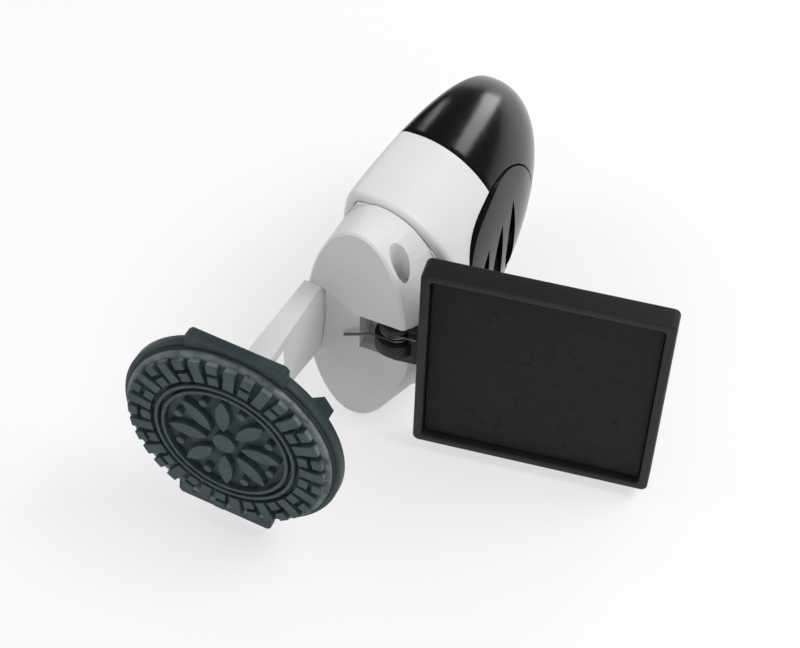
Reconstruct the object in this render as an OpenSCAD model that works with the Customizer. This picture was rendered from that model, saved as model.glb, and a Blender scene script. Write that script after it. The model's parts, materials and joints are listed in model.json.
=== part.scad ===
// Pocket stamp: an egg-shaped grip with a round stamp head on a forked arm
// and an ink tray that swings out on a sprung hinge.
// It lies on its narrow side. Y runs along the grip, Z is up, both hinge pins stand upright,
// and the ink tray is on the +X side.

/* [Grip] */
// Width of the grip across the hand (Z)
grip_w = 50.8; // [46:0.2:56]
// Thickness of the grip from its flat side to its arched side (X)
grip_t = 26.8; // [25.6:0.2:30]
// Distance from the grip's flat side to its widest line
base_t = 5.3; // [4.8:0.1:6]
// Length of the white sleeve, from its mouth to the seam
sleeve_len = 20.8; // [18:0.1:25]
// Length of the black dome, from the seam to its tip
dome_len = 43.1; // [40:0.1:48]
// Wall of the sleeve and the dome
shell_wall = 1.8; // [1.4:0.1:2.2]
// Rounding of the sleeve's mouth
lip_r = 1.2; // [0.8:0.1:1.6]
// Place of the grip's widest line at the mouth, measured from the neck's middle
grip_x = -2.25; // [-3:0.05:-1.5]

/* [Thumb buttons] */
// Length of a thumb button along the grip
button_len = 38.8; // [34:0.2:42]
// Height of a thumb button across the grip
button_h = 30.6; // [24:0.2:32]
// How much flatter than the grip a button is at its mouth end
button_dish = 0.8; // [0.5:0.1:1.2]
// Squeeze travel of a button
button_travel = 1.2; // [0.8:0.1:1.5]
// Depth of the finger grooves in a button
groove_depth = 0.9; // [0.5:0.1:1.2]

/* [Neck] */
// How much lower the neck's flat end is than the grip, on each narrow side
neck_drop = 0.9; // [0.5:0.1:1.4]
// Thickness of the neck's flat end (X)
neck_t = 20.5; // [18:0.1:23]
// Length of the neck that shows in front of the sleeve
neck_len = 9.4; // [8.5:0.1:12]
// Height of the step from the neck up to the sleeve's mouth
neck_step = 1.5; // [1:0.1:2]
// How far the neck widens towards the ink tray before it meets the sleeve
neck_flare = 5.6; // [4.5:0.1:6.5]
// Depth of the recess in the neck's end
recess_depth = 1.4; // [1.2:0.1:1.7]

/* [Tray hinge] */
// Hinge axis, measured from the neck's middle
hinge_x = 7.5; // [6.5:0.1:8.5]
// Hinge axis, measured behind the neck's end
hinge_y = 3; // [2.5:0.1:3.5]
// Diameter of both hinge pins
pin_d = 2.4; // [2:0.1:3]
// Diameter of the hinge's lower flange
flange_d = 8.4; // [7.8:0.1:9]
// Height of the tray's hinge barrel
barrel_h = 9.1; // [8.9:0.1:10]
// Wire of the torsion spring
spring_wire = 0.6; // [0.5:0.05:0.7]

/* [Ink tray] */
// Length of the tray, away from its hinge
tray_w = 46.3; // [42:0.1:52]
// Height of the tray (Z)
tray_h = 45.5; // [44:0.1:50]
// Depth of the tray
tray_t = 4.9; // [4.4:0.1:6]
// Distance of the tray's rim in front of the hinge axis
tray_front = 6.3; // [6:0.1:7]
// Distance of the tray's near wall from the hinge axis
tray_near = 5.4; // [5.2:0.1:6.5]
// Swing of the open tray past a right angle to the grip, in degrees
tray_swing = 9.25; // [5:0.25:12]
// Wall of the tray
tray_wall = 1.8; // [1.2:0.1:2.2]
// Floor of the tray
tray_floor = 1.2; // [0.8:0.1:1.6]
// Depth of the ink pad's face below the rim
pad_sunk = 1.3; // [0.8:0.1:1.8]

/* [Stamp arm] */
// Reach of the printing face in front of the neck's end
die_reach = 35.8; // [33:0.1:40]
// Offset of the stamp head from the neck's middle, away from the tray
head_off = 8.8; // [8:0.1:10]
// Thickness of the arm at the neck
arm_t = 3.5; // [3:0.1:4.2]
// Thickness of the arm at its fork
fork_t = 5.1; // [4.4:0.1:5.6]
// Top edge of the arm above the middle of the neck
arm_top = 8.4; // [7.6:0.1:9.4]
// Bottom edge of the arm at the neck, below the middle
arm_low = 8.5; // [7.6:0.1:9.4]
// Bottom edge of the fork, below the middle
fork_low = 5.3; // [4.8:0.1:6]
// Length of the arm's web, from the neck to the fork
web_len = 15.7; // [14:0.1:18]
// Thickness of the arm's flanges and of the fork's ears
ear_t = 2.5; // [2:0.1:3]

/* [Stamp head] */
// Diameter of the rubber die
die_d = 41; // [36:0.5:41.5]
// Width of the stamp plate's rim outside the rubber
plate_rim = 1.25; // [1:0.05:2]
// Height of the die's relief
relief_h = 1.4; // [0.8:0.1:1.8]
// Thickness of the die's base sheet
die_base = 0.8; // [0.6:0.1:1.2]
// Thickness of the foam cushion under the die
cushion_t = 0.6; // [0.4:0.1:1]
// Thickness of the stamp plate
plate_t = 2; // [1.6:0.1:2.6]
// Thickness of the holder behind the plate
holder_t = 2.4; // [2:0.1:3]
// Length of the plate's finger tabs
tab_len = 19.4; // [16:0.2:24]
// Height of the finger tabs past the plate
tab_reach = 1.15; // [0.8:0.05:1.8]
// Border blocks round the die
border_count = 34; // [24:1:40]

/* [Hidden] */
$fn = 64;

// Finishes
white_plastic = "#e4e3e4";
black_gloss = "#161617";
charcoal = "#2e2f30";
felt_black = "#24272a";
plate_green = "#3a4748";
rubber_green = "#56686a";
foam_grey = "#46504f";
steel = "#8d8f92";

// Clearances
run_gap = 0.05;
seat_gap = 0.12;
move_gap = 0.35;
pin_fit = 0.02;
touch_gap = 0.3;
over = 1;
reach = 80;

// Grip: flat on one side, arched on the other, with its largest section at the mouth
grip_full = 2.075;
base_full = 4.5;
arch_t = grip_t - base_t;
grip_lean = 0.03;
grip_pow = 2 / grip_full;
grip_len = sleeve_len + dome_len;
mouth_y = neck_len;
seam_y = mouth_y + sleeve_len;
seam_gap = 0.15;
dome_plug = 4;
egg_sides = 48;
egg_steps = [0, 7, 13, 19, 26, 34, 43, 52, 61, 69, 76, 81.5, 85.5, 88.4];
inner_sides = 24;
inner_steps = [0, 13, 26, 43, 61, 76, 85.5];
tip_turn = egg_steps[len(egg_steps) - 1];
tip_y = mouth_y + grip_len * pow(sin(tip_turn), grip_pow);

// Thumb buttons
button_margin = 2.4;
button_front = button_len * 0.42;
button_rear = button_len - button_front;
button_y = mouth_y + button_margin + button_front;
button_front_full = 3;
button_rear_full = 2.16;
button_edge = 0.4;
button_sides = 56;
button_flange = 1.1;
button_flange_t = 1.2;
button_back = shell_wall + move_gap + button_flange_t;
button_stem_d = 4.8;
groove_count = 3;
groove_pitch = button_len / 5.2;
groove_len = button_h * 0.58;
groove_first = -button_len * 0.15;
groove_outer_sag = 6.2;
groove_inner_sag = 1.3;

// Core between the buttons
core_t = 9.2;
button_start = core_t / 3;
core_h = 15;
core_foot_t = 3;
core_foot_h = 26;
core_y = mouth_y + 2.5;
core_past = 7;
core_end = button_y + core_past;
stem_gap = button_travel + 0.6;
button_coil_r = button_stem_d / 2 + 0.9;
button_wire = 0.6;
button_turns = 4;
spring_well = 1.8;
spring_well_r = button_coil_r + button_wire / 2 + 0.4;
seat_scale = pow(1 - pow((button_y - mouth_y) / (grip_len - button_back), grip_full), 1 / grip_full);
seat_x = (grip_t / 2 - button_back) * seat_scale - 0.7;
core_x = grip_x + grip_lean * (button_y - mouth_y) + (arch_t - base_t) / 2 * seat_scale;
seat_back = 2;
coil_in = core_t / 2 - spring_well + button_wire / 2 + run_gap;
coil_out = seat_x - button_wire / 2 - run_gap;
screw_r = 1.2;
screw_head_r = 2.2;
screw_head_t = 1.5;
screw_bite = 6;
screw_z = core_foot_h / 2 - screw_head_r - 0.4;

// Tray hinge
pin_r = pin_d / 2;
flange_r = flange_d / 2;
barrel_low = -5.8;
barrel_top = barrel_low + barrel_h;
flange_low = barrel_low + 2.4;
flange_t = 3;
flange_top = flange_low + flange_t;
collar_t = 1.2;
collar_r = flange_r - 0.7;
barrel_core_r = pin_r + 1;
coil_low = flange_top + spring_wire / 2 + 0.1;
coil_high = barrel_top - collar_t - spring_wire / 2 - 0.1;
coil_r = barrel_core_r + spring_wire / 2 + 0.45;
coil_turns = 2;
pocket_gap = 0.45;
pocket_low = barrel_low - touch_gap;
pocket_top = barrel_top + touch_gap;
pocket_r = flange_r + pocket_gap;
pocket_x = hinge_x - flange_r - 2.8;
pin_sink_r = pin_r + 0.75;
hinge_arm_front = coil_r - spring_wire / 2 - move_gap;
hinge_arm_back = 2.6;
leg_tip_y = recess_depth - spring_wire / 2 - 0.15;
leg_tip_z = coil_low - 3.8;
leg_run = coil_r + 1;

// Neck end
neck_w = grip_w - 2 * neck_drop;
pin_top = neck_w / 4;
pin_low = -neck_w * 2 / 7;
recess_x = -neck_t / 2 + arm_t - 0.15;
recess_top = arm_top - 0.2;
leg_tip_x = recess_x + 4.4;
ramp_low = 14.9;
ramp_x = 6.2;
ramp_drop = 0.532;
ramp_rise = 4.55;
mouth_half_w = grip_w / 2 - neck_step;
neck_sides = 64;
neck_edge = 0.4;
mouth_gap = 0.25;
neck_overlap = 0.5;
plug_short = 5;
plug_end = seam_y - plug_short;
plug_wall = 2;
tenon_t = 2;
tenon_len = 7.5;
tenon_h = 13;

// Folded head: the printing face lies on the pad, so the plate's pivot follows from both poses
pad_face = tray_front - pad_sunk;
tray_back = tray_front - tray_t;
tray_corner = 1.3;
tray_bevel = 0.45;
carrier_front = tray_back - run_gap;
carrier_t = 1.2;
carrier_start = 2.6;
carrier_end = 9.4;
fold_x = hinge_x - pad_face - touch_gap;
fold_y = hinge_y - tray_near - tray_w / 2;
pivot_x = (fold_x - die_reach - fold_y - head_off) / 2;
pivot_y = (fold_x - die_reach + fold_y + head_off) / 2;
arm_in = recess_x;
ear_r = 3;
gap_low = ear_t - fork_low;
gap_top = arm_top - ear_t;
web_t = 1.5;
web_slant = 2.6;
low_flange = 2.6;
channel_root = 1.2;

// Stamp head, stacked from the printing face backwards
plate_d = die_d + 2 * plate_rim;
holder_inset = 4;
die_back = -die_reach + relief_h + die_base;
cushion_back = die_back + cushion_t;
plate_back = cushion_back + plate_t;
holder_back = plate_back + holder_t;
cushion_d = die_d + 1;
holder_d = plate_d - 2 * holder_inset;
knuckle_r = 2.8;
lug_turn = 32;
lug_w = 3.4;
lug_grip = 2;
lug_back = pivot_y + pivot_x - arm_in - touch_gap - 0.2;
tab_t = 1.85;
tab_front = 0.8;
tab_chamfer = 0.7;
tab_turn = -5;

// Relief of the die: a border of plain blocks, two rings and a rosette
border_r = die_d / 2 - 0.9;
border_len = 4.6;
ring_r = border_r - border_len - 0.9;
ring_t = 0.6;
ring_space = 0.8;
petal_count = 8;
hub_r = 2.2;
petal_in = hub_r + 1.2;
petal_out = ring_r - 2 * ring_t - ring_space - 0.9;
dot_at = petal_out - 1.4;
dot_r = 0.8;

// The row's origin lies under the middle of the whole object, on the surface it lies on
far_x = hinge_x + (tray_near + tray_w) * cos(tray_swing) + tray_front * sin(tray_swing);
origin_x = (far_x - head_off - plate_d / 2) / 2;
origin_y = (tip_y - die_reach) / 2;

// Section of the grip: a flat side with tight corners towards -X, an arch towards +X
function side_ring(cx, base, arch, full, y, hz, n) =
  [for (i = [0:n - 1])
    let (c = cos(360 * i / n), s = sin(360 * i / n), p = 2 / (c < 0 ? base_full : full))
    [cx + (c < 0 ? base : arch) * sign(c) * pow(abs(c), p), y, hz * sign(s) * pow(abs(s), p)]];

function egg_y(turn, grow) = (grip_len + grow) * pow(sin(turn), grip_pow);
function egg_ring(turn, grow, sides) =
  let (k = pow(cos(turn), grip_pow), y = egg_y(turn, grow))
  side_ring(
    grip_x + grip_lean * y, (base_t + grow) * k, (arch_t + grow) * k, 2,
    mouth_y + y, (grip_w / 2 + grow) * k, sides
  );

// Button skin: flush with the dome, flatter than the sleeve and proud at its edges towards the mouth
function skin_rise(turn) = max(0, min(1, (32 - turn) / 24));
function skin_ring(turn, grow) =
  let (k = pow(cos(turn), grip_pow), f = skin_rise(turn), y = egg_y(turn, 0))
  side_ring(
    grip_x + grip_lean * y, base_t * k + button_edge * f + grow, arch_t * k - button_dish * f + grow, 2 + f / 2,
    mouth_y + y, grip_w / 2 * k + button_edge * f + grow, egg_sides
  );

function neck_ring(y, grow) =
  let (f = y / neck_len, hz = neck_w / 2 + f * (mouth_half_w - neck_w / 2) + grow)
  [for (i = [0:neck_sides - 1])
    let (c = cos(360 * i / neck_sides))
    [(neck_t / 2 + grow + (c > 0 ? f * neck_flare : 0)) * c, y, hz * sin(360 * i / neck_sides)]];

function unit(v) = v / norm(v);
function button_outline(grow) =
  [for (i = [0:button_sides - 1])
    let (
      c = cos(360 * i / button_sides), s = sin(360 * i / button_sides),
      p = 2 / (c < 0 ? button_front_full : button_rear_full)
    )
    [((c < 0 ? button_front : button_rear) + grow) * sign(c) * pow(abs(c), p),
      (button_h / 2 + grow) * sign(s) * pow(abs(s), p)]];

// Least gap between stretches of a wire that are more than half a turn apart along it
function least_gap(path, wire, skip) =
  min([for (i = [0:len(path) - 1], j = [0:len(path) - 1]) if (j - i > skip) norm(path[i] - path[j])]) - wire;

module loft(rings) {
  n = len(rings[0]);
  m = len(rings);
  points = [for (ring = rings) each ring];
  sides = [for (j = [0:m - 2], i = [0:n - 1], half = [0, 1])
    let (a = j * n + i, b = j * n + (i + 1) % n, c = b + n, d = a + n)
    half == 0 ? [a, b, c] : [a, c, d]];
  front = [[for (i = [n - 1:-1:0]) i]];
  back = [[for (i = [0:n - 1]) (m - 1) * n + i]];
  polyhedron(points = points, faces = concat(front, sides, back), convexity = 6);
}

module wire_tube(path, wire, up) {
  sides = 6;
  last = len(path) - 1;
  rings = [for (i = [0:last])
    let (
      t = unit(path[min(i + 1, last)] - path[max(i - 1, 0)]),
      s = unit(cross(t, up)),
      u = cross(s, t)
    )
    [for (k = [0:sides - 1]) path[i] + wire / 2 * (cos(360 * k / sides) * s - sin(360 * k / sides) * u)]];
  loft(rings);
}

module place() {
  translate([-origin_x, -origin_y, grip_w / 2]) children();
}

module slab(y0, y1) {
  translate([-reach, y0, -reach]) cube([2 * reach, y1 - y0, 2 * reach]);
}

module egg(grow) {
  sides = grow < 0 ? inner_sides : egg_sides;
  steps = grow < 0 ? inner_steps : egg_steps;
  front = [for (p = egg_ring(0, grow, sides)) [p[0], mouth_y - 2 * over, p[2]]];
  loft(concat([front], [for (turn = steps) egg_ring(turn, grow, sides)]));
}

module sleeve_skin() {
  lip = [for (a = [0, 30, 60, 90])
    [for (p = egg_ring(0, lip_r * (sin(a) - 1), egg_sides)) [p[0], mouth_y + lip_r * (1 - cos(a)), p[2]]]];
  loft(concat(lip, [for (turn = egg_steps) if (turn > 6) egg_ring(turn, 0, egg_sides)]));
}

module button_skin(grow) {
  front = [for (p = skin_ring(0, grow)) [p[0], mouth_y - 2 * over, p[2]]];
  loft(concat([front], [for (turn = egg_steps) if (turn < 76) skin_ring(turn, grow)]));
}

// Side 1 is the arched side, side -1 the flat one
module from_side(side) {
  translate([core_x, button_y, 0]) mirror([side < 0 ? 1 : 0, 0, 0]) rotate([90, 0, 90]) children();
}

module button_prism(grow, side, start) {
  from_side(side) translate([0, 0, start]) linear_extrude(grip_t) polygon(button_outline(grow));
}

module button_holes(grow) {
  for (side = [1, -1]) button_prism(grow, side, button_start - button_travel - move_gap);
}

module groove_prism() {
  half = groove_len / 2;
  r_out = (half * half + groove_outer_sag * groove_outer_sag) / (2 * groove_outer_sag);
  r_in = (half * half + groove_inner_sag * groove_inner_sag) / (2 * groove_inner_sag);
  linear_extrude(grip_t) difference() {
    translate([r_out - groove_outer_sag, 0]) circle(r_out);
    translate([r_in - groove_inner_sag, 0]) circle(r_in);
    translate([0, -reach]) square([reach, 2 * reach]);
  }
}

module on_tray() {
  translate([hinge_x, hinge_y, 0]) rotate([0, 0, tray_swing]) children();
}

module on_plate(y) {
  translate([-head_off, y, 0]) rotate([90, 0, 0]) children();
}

module above_ramp() {
  slope = [ramp_drop, -ramp_rise, 1];
  tilt = acos(1 / norm(slope));
  turn = atan2(slope[1], slope[0]);
  translate([ramp_x, 0, -ramp_low]) rotate([0, tilt, turn]) translate([-reach, -reach, 0]) cube(2 * reach);
}

// Grip shells
module handle_dome() {
  color(black_gloss) place() difference() {
    union() {
      intersection() {
        difference() {
          egg(0);
          egg(-shell_wall);
        }
        slab(seam_y + seam_gap, tip_y + over);
      }
      intersection() {
        difference() {
          egg(-shell_wall - seat_gap);
          egg(-shell_wall - seat_gap - plug_wall);
        }
        slab(seam_y - dome_plug, seam_y + 2 * over);
      }
      intersection() {
        difference() {
          egg(-shell_wall / 2);
          egg(-shell_wall - seat_gap - plug_wall);
        }
        slab(seam_y + seam_gap, seam_y + 2 * over);
      }
    }
    button_holes(move_gap);
    intersection() {
      button_holes(button_flange + 2 * move_gap);
      egg(-shell_wall);
    }
  }
}

module handle_sleeve() {
  color(white_plastic) place() difference() {
    intersection() {
      sleeve_skin();
      slab(mouth_y - over, seam_y);
    }
    egg(-shell_wall);
    button_holes(move_gap);
  }
}

// Thumb buttons, each with a rim behind the shells and a stem in the core
module thumb_button(side) {
  difference() {
    union() {
      intersection() {
        difference() {
          button_skin(0);
          egg(-button_back);
        }
        button_prism(0, side, button_start);
      }
      intersection() {
        difference() {
          egg(-shell_wall - move_gap);
          egg(-button_back);
        }
        button_prism(button_flange, side, button_start);
      }
      from_side(side) translate([0, 0, seat_x]) cylinder(r = spring_well_r, h = seat_back);
      from_side(side) translate([0, 0, stem_gap]) cylinder(d = button_stem_d, h = seat_x - stem_gap + over);
    }
    difference() {
      for (i = [0:groove_count - 1])
        from_side(side) translate([groove_first + i * groove_pitch, 0, core_t / 2]) groove_prism();
      button_skin(-groove_depth);
    }
  }
}

module thumb_button_right() {
  color(black_gloss) place() thumb_button(1);
}

module thumb_button_left() {
  color(black_gloss) place() thumb_button(-1);
}

module button_spring(side) {
  path = [for (i = [0:8 * button_turns])
    [button_coil_r * cos(45 * i), button_coil_r * sin(45 * i),
      coil_in + (coil_out - coil_in) * i / (8 * button_turns)]];
  echo(str("button spring least gap ", least_gap(path, button_wire, 5)));
  from_side(side) wire_tube(path, button_wire, [0, 0, 1]);
}

module button_spring_right() {
  color(steel) place() button_spring(1);
}

module button_spring_left() {
  color(steel) place() button_spring(-1);
}

// Core: guides both stems, screwed to the back of the neck
module handle_core() {
  color(white_plastic) place() difference() {
    union() {
      translate([core_x - core_t / 2, core_y, -core_foot_h / 2]) cube([core_t, core_foot_t, core_foot_h]);
      translate([core_x - core_t / 2, core_y, -core_h / 2]) cube([core_t, core_end - core_y, core_h]);
    }
    from_side(1) translate([0, 0, -core_t]) cylinder(d = button_stem_d + 2 * run_gap, h = 2 * core_t);
    for (side = [1, -1])
      from_side(side) translate([0, 0, core_t / 2 - spring_well]) cylinder(r = spring_well_r, h = core_t);
    for (z = [-screw_z, screw_z])
      translate([core_x, core_y + core_foot_t + over, z]) rotate([90, 0, 0])
        cylinder(r = screw_r + run_gap, h = core_foot_t + 2 * over);
  }
}

module core_screws() {
  color(steel) place() for (z = [-screw_z, screw_z])
    translate([core_x, core_y + core_foot_t, z]) difference() {
      union() {
        rotate([90, 0, 0]) cylinder(r = screw_r, h = core_foot_t + screw_bite);
        rotate([-90, 0, 0]) cylinder(r = screw_head_r, h = screw_head_t);
      }
      for (turn = [0, 90]) rotate([0, turn, 0])
        translate([-screw_r, screw_head_t / 2, -0.3]) cube([2 * screw_r, screw_head_t, 0.6]);
    }
}

// Neck: the white end piece with the arm's socket, the spring recess and the tray's hinge pocket
module neck_body() {
  loft([neck_ring(0, -neck_edge), neck_ring(neck_edge, 0), neck_ring(neck_len - mouth_gap, 0)]);
  intersection() {
    egg(-shell_wall - seat_gap);
    slab(neck_len - neck_overlap, core_y);
  }
  intersection() {
    difference() {
      egg(-shell_wall - seat_gap);
      egg(-shell_wall - seat_gap - plug_wall);
    }
    slab(core_y - over, plug_end);
  }
}

module neck_frame() {
  color(white_plastic) place() difference() {
    neck_body();
    button_holes(button_flange + 2 * move_gap);
    intersection() {
      translate([0, recess_depth, 0]) rotate([90, 0, 0]) linear_extrude(recess_depth + over)
        polygon([
          [recess_x, recess_top], [pocket_x, pocket_top + 0.2], [reach, pocket_top + 0.2],
          [reach, -reach], [recess_x, -reach]
        ]);
      above_ramp();
    }
    translate([pocket_x, -over, pocket_low])
      cube([reach, hinge_y + pocket_r + over, pocket_top - pocket_low]);
    translate([hinge_x, hinge_y, pin_low]) cylinder(r = pin_r + pin_fit, h = pin_top - pin_low);
    translate([hinge_x, hinge_y, pin_top]) cylinder(r = pin_sink_r, h = reach);
    translate([arm_in - tenon_t - seat_gap, -over, -tenon_h / 2 - seat_gap])
      cube([tenon_t + 2 * seat_gap, tenon_len + seat_gap + over, tenon_h + 2 * seat_gap]);
    for (z = [-screw_z, screw_z])
      translate([core_x, core_y + over, z]) rotate([90, 0, 0]) cylinder(r = screw_r + pin_fit, h = screw_bite + 1.5);
  }
}

// Arm: a channel that ends in a fork round the plate's knuckle
module stamp_arm() {
  color(white_plastic) place() difference() {
    union() {
      intersection() {
        translate([0, 0, -reach / 2]) linear_extrude(reach) union() {
          polygon([[arm_in, 0], [arm_in, pivot_y], [arm_in - fork_t, pivot_y], [arm_in - arm_t, 0]]);
          translate([pivot_x, pivot_y]) circle(ear_r);
        }
        translate([-reach / 2, 0, 0]) rotate([90, 0, 90]) linear_extrude(reach) polygon([
          [0, arm_top], [pivot_y - ear_r - over, arm_top], [pivot_y - ear_r - over, -fork_low],
          [-web_len, -fork_low], [0, -arm_low]
        ]);
      }
      translate([arm_in - tenon_t, -over, -tenon_h / 2]) cube([tenon_t, tenon_len + over, tenon_h]);
    }
    translate([0, 0, gap_low]) linear_extrude(gap_top - gap_low) polygon([
      [arm_in + reach, pivot_y - ear_r - over], [arm_in + reach, -web_len], [arm_in, -web_len],
      [arm_in - web_t - over, -web_len + web_slant * (web_t + over)],
      [arm_in - reach, -web_len + web_slant * (web_t + over)], [arm_in - reach, pivot_y - ear_r - over]
    ]);
    translate([arm_in - low_flange - reach, -web_len, -reach])
      cube([reach, web_len - channel_root, reach + gap_low + over]);
    translate([arm_in - web_t - reach, 0, 0]) rotate([90, 0, 90]) linear_extrude(reach) polygon([
      [-channel_root, gap_top], [-web_len - over, gap_top], [-web_len - over, gap_low],
      [-web_len, gap_low], [-channel_root, ear_t - arm_low]
    ]);
    translate([pivot_x, pivot_y, -reach / 2]) cylinder(r = pin_r + pin_fit, h = reach);
  }
}

module plate_pivot_pin() {
  color(steel) place() translate([pivot_x, pivot_y, -fork_low]) cylinder(r = pin_r, h = fork_low + arm_top - 0.2);
}

// Stamp head
module plate_holder() {
  color(plate_green) place() difference() {
    union() {
      on_plate(holder_back) cylinder(d = holder_d, h = holder_t);
      translate([pivot_x, pivot_y, gap_low + move_gap]) cylinder(r = knuckle_r, h = gap_top - gap_low - 2 * move_gap);
      translate([pivot_x - knuckle_r, holder_back - holder_t / 2, gap_low + move_gap])
        cube([2 * knuckle_r, pivot_y - holder_back + holder_t / 2, gap_top - gap_low - 2 * move_gap]);
      on_plate(lug_back) rotate([0, 0, lug_turn]) translate([holder_d / 2 - lug_grip, -lug_w / 2, 0])
        cube([2 * lug_grip, lug_w, lug_back - plate_back]);
    }
    translate([pivot_x, pivot_y, -reach / 2]) cylinder(r = pin_r + run_gap, h = reach);
  }
}

module stamp_plate() {
  top = plate_d / 2 + tab_reach;
  half = tab_len / 2;
  color(plate_green) place() union() {
    on_plate(plate_back) cylinder(d = plate_d, h = plate_t, $fn = 96);
    for (s = [0, 180])
      on_plate(plate_back - tab_front) rotate([0, 0, s + tab_turn]) linear_extrude(tab_t) difference() {
        polygon([
          [-half, holder_d / 2], [half, holder_d / 2], [half, top - tab_chamfer],
          [half - tab_chamfer, top], [tab_chamfer - half, top], [-half, top - tab_chamfer]
        ]);
        circle(d = cushion_d + 4 * seat_gap, $fn = 96);
      }
  }
}

module die_cushion() {
  color(foam_grey) place() on_plate(cushion_back) cylinder(d = cushion_d, h = cushion_t, $fn = 96);
}

module petal() {
  half_len = (petal_out - petal_in) / 2;
  half_w = 1.4;
  r = (half_len * half_len + half_w * half_w) / (2 * half_w);
  intersection() {
    translate([petal_in + half_len, r - half_w]) circle(r);
    translate([petal_in + half_len, half_w - r]) circle(r);
  }
}

module rubber_die() {
  step = 2 * PI * (border_r - border_len / 2) / border_count;
  block_w = step * 0.64;
  short = (border_len - 0.9) / 2;
  color(rubber_green) place() on_plate(die_back) {
    cylinder(d = die_d, h = die_base, $fn = 96);
    translate([0, 0, die_base - 0.2]) linear_extrude(relief_h + 0.2) {
      for (i = [0:border_count - 1]) rotate(360 * i / border_count) {
        if (i % 2 == 0) translate([border_r - border_len, -block_w / 2]) square([border_len, block_w]);
        if (i % 2 == 1) translate([border_r - short, -block_w / 2]) square([short, block_w]);
        if (i % 2 == 1) translate([border_r - border_len, -block_w / 2]) square([short, block_w]);
      }
      for (r = [ring_r, ring_r - ring_t - ring_space]) difference() {
        circle(r);
        circle(r - ring_t);
      }
      for (i = [0:petal_count - 1]) rotate(360 * i / petal_count) petal();
      for (i = [0:petal_count - 1]) rotate(360 * (i + 0.5) / petal_count) translate([dot_at, 0]) circle(dot_r, $fn = 24);
      circle(hub_r);
    }
  }
}

// Tray hinge
module tray_hinge_pin() {
  color(steel) place() translate([hinge_x, hinge_y, pin_low]) cylinder(r = pin_r, h = pin_top - pin_low);
}

module tray_hinge_spring() {
  steps = 8 * coil_turns;
  along = [cos(tray_swing), sin(tray_swing), 0];
  start = [coil_r * sin(tray_swing), -coil_r * cos(tray_swing), coil_high];
  coil = [for (i = [0:steps])
    let (turn = 270 + tray_swing - (360 * coil_turns + tray_swing) * i / steps)
    [coil_r * cos(turn), coil_r * sin(turn), coil_high - (coil_high - coil_low) * i / steps]];
  leg = [[-leg_run, -coil_r, coil_low], [leg_tip_x - hinge_x, leg_tip_y - hinge_y, leg_tip_z]];
  path = concat([start + (tray_near - 0.8) * along, start + spring_wire * along], coil, leg);
  echo(str("tray spring least gap ", least_gap(path, spring_wire, 5)));
  color(steel) place() translate([hinge_x, hinge_y, 0]) wire_tube(path, spring_wire, [0, 0, 1]);
}

module tray_carrier() {
  color(charcoal) place() on_tray() difference() {
    union() {
      difference() {
        translate([0, -hinge_arm_front, barrel_low])
          cube([tray_near - touch_gap, hinge_arm_front + hinge_arm_back, barrel_h]);
        translate([0, 0, flange_top])
          cylinder(r = coil_r + spring_wire / 2 + move_gap, h = barrel_top - collar_t - flange_top);
      }
      translate([0, 0, flange_low]) cylinder(r = flange_r, h = flange_t);
      translate([0, 0, barrel_low]) cylinder(r = barrel_core_r, h = barrel_h);
      translate([0, 0, barrel_top - collar_t]) cylinder(r = collar_r, h = collar_t);
      translate([tray_near - carrier_t, -carrier_front, barrel_low])
        cube([carrier_start + 2 * carrier_t, carrier_front + carrier_t, barrel_h]);
      translate([tray_near + carrier_start, -carrier_front, -tray_h * 0.37])
        cube([tray_w - carrier_start - carrier_end, carrier_t, tray_h * 0.74]);
    }
    translate([0, 0, barrel_low - over]) cylinder(r = pin_r + run_gap, h = barrel_h + 2 * over);
  }
}

module round_rect(w, h, r) {
  translate([r, 0]) square([w - 2 * r, h]);
  translate([0, r]) square([w, h - 2 * r]);
  for (x = [r, w - r], y = [r, h - r]) translate([x, y]) circle(r, $fn = 32);
}

module tray_slice(inset, n_back, n_front) {
  translate([tray_near + inset, -n_back, -tray_h / 2 + inset]) rotate([90, 0, 0])
    linear_extrude(n_front - n_back) round_rect(tray_w - 2 * inset, tray_h - 2 * inset, tray_corner);
}

module ink_tray() {
  color(charcoal) place() on_tray() difference() {
    hull() {
      tray_slice(0, tray_back + tray_bevel, tray_front - tray_bevel);
      tray_slice(tray_bevel, tray_back, tray_front);
    }
    tray_slice(tray_wall, tray_back + tray_floor, tray_front + over);
  }
}

module ink_pad() {
  color(felt_black) place() on_tray() tray_slice(tray_wall + 0.15, tray_back + tray_floor, pad_face);
}

handle_dome();
handle_sleeve();
neck_frame();
handle_core();
core_screws();
thumb_button_right();
thumb_button_left();
button_spring_right();
button_spring_left();
stamp_arm();
plate_pivot_pin();
plate_holder();
stamp_plate();
die_cushion();
rubber_die();
tray_hinge_pin();
tray_hinge_spring();
tray_carrier();
ink_tray();
ink_pad();
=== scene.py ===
"""Looks of the pocket stamp: smooth shells, soft edges, a felt ink pad and plain studio light."""

import json
import logging
import math
from dataclasses import dataclass
from enum import Enum
from typing import Any, Callable, Iterable, Optional, Sequence, Union

import bmesh
import bpy
from mathutils import Matrix, Vector


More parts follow.
